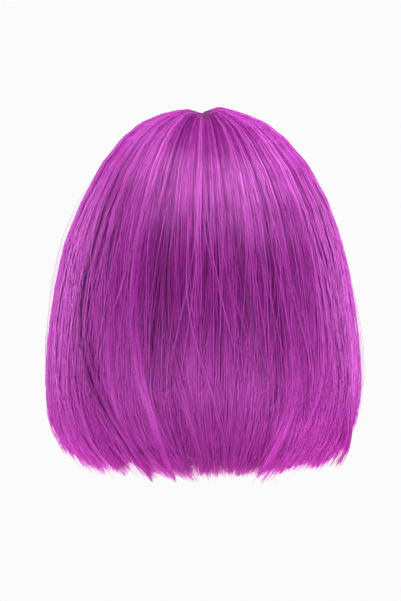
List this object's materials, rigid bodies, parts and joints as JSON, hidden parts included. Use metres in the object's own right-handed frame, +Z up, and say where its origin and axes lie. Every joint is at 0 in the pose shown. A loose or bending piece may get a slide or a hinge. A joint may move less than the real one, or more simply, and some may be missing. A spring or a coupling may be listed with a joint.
{
  "type": "bob wig",
  "caption": "Straight rounded bob wig, purple, with a centre parting, a full fringe and an inward-curled hem, on a hollow net cap open for the head, face and neck.",
  "frame": {"origin": "top of the head, at the apex of the cap's inner face, where the wig sits on the head", "axes": "+Z up, -Y the way the wearer faces, +X the wearer's left"},
  "size_m": [0.2358, 0.231, 0.2643],
  "materials": {
    "hair": "glossy straight synthetic fibre, vivid purple, with a soft sheen band",
    "under_hair": "the same fibre in shade, deeper purple",
    "cap_net": "fine dark stretch net, matt",
    "elastic": "dark ribbed elastic tape, matt"
  },
  "bodies": {
    "root": {"cap": "cap_net", "cap_band": "elastic", "hair_back": "hair", "hair_left": "hair", "fringe": "hair", "hair_right": "hair", "under_hair_back": "under_hair", "under_hair_left": "under_hair", "under_hair_right": "under_hair"}
  },
  "joints": []
}
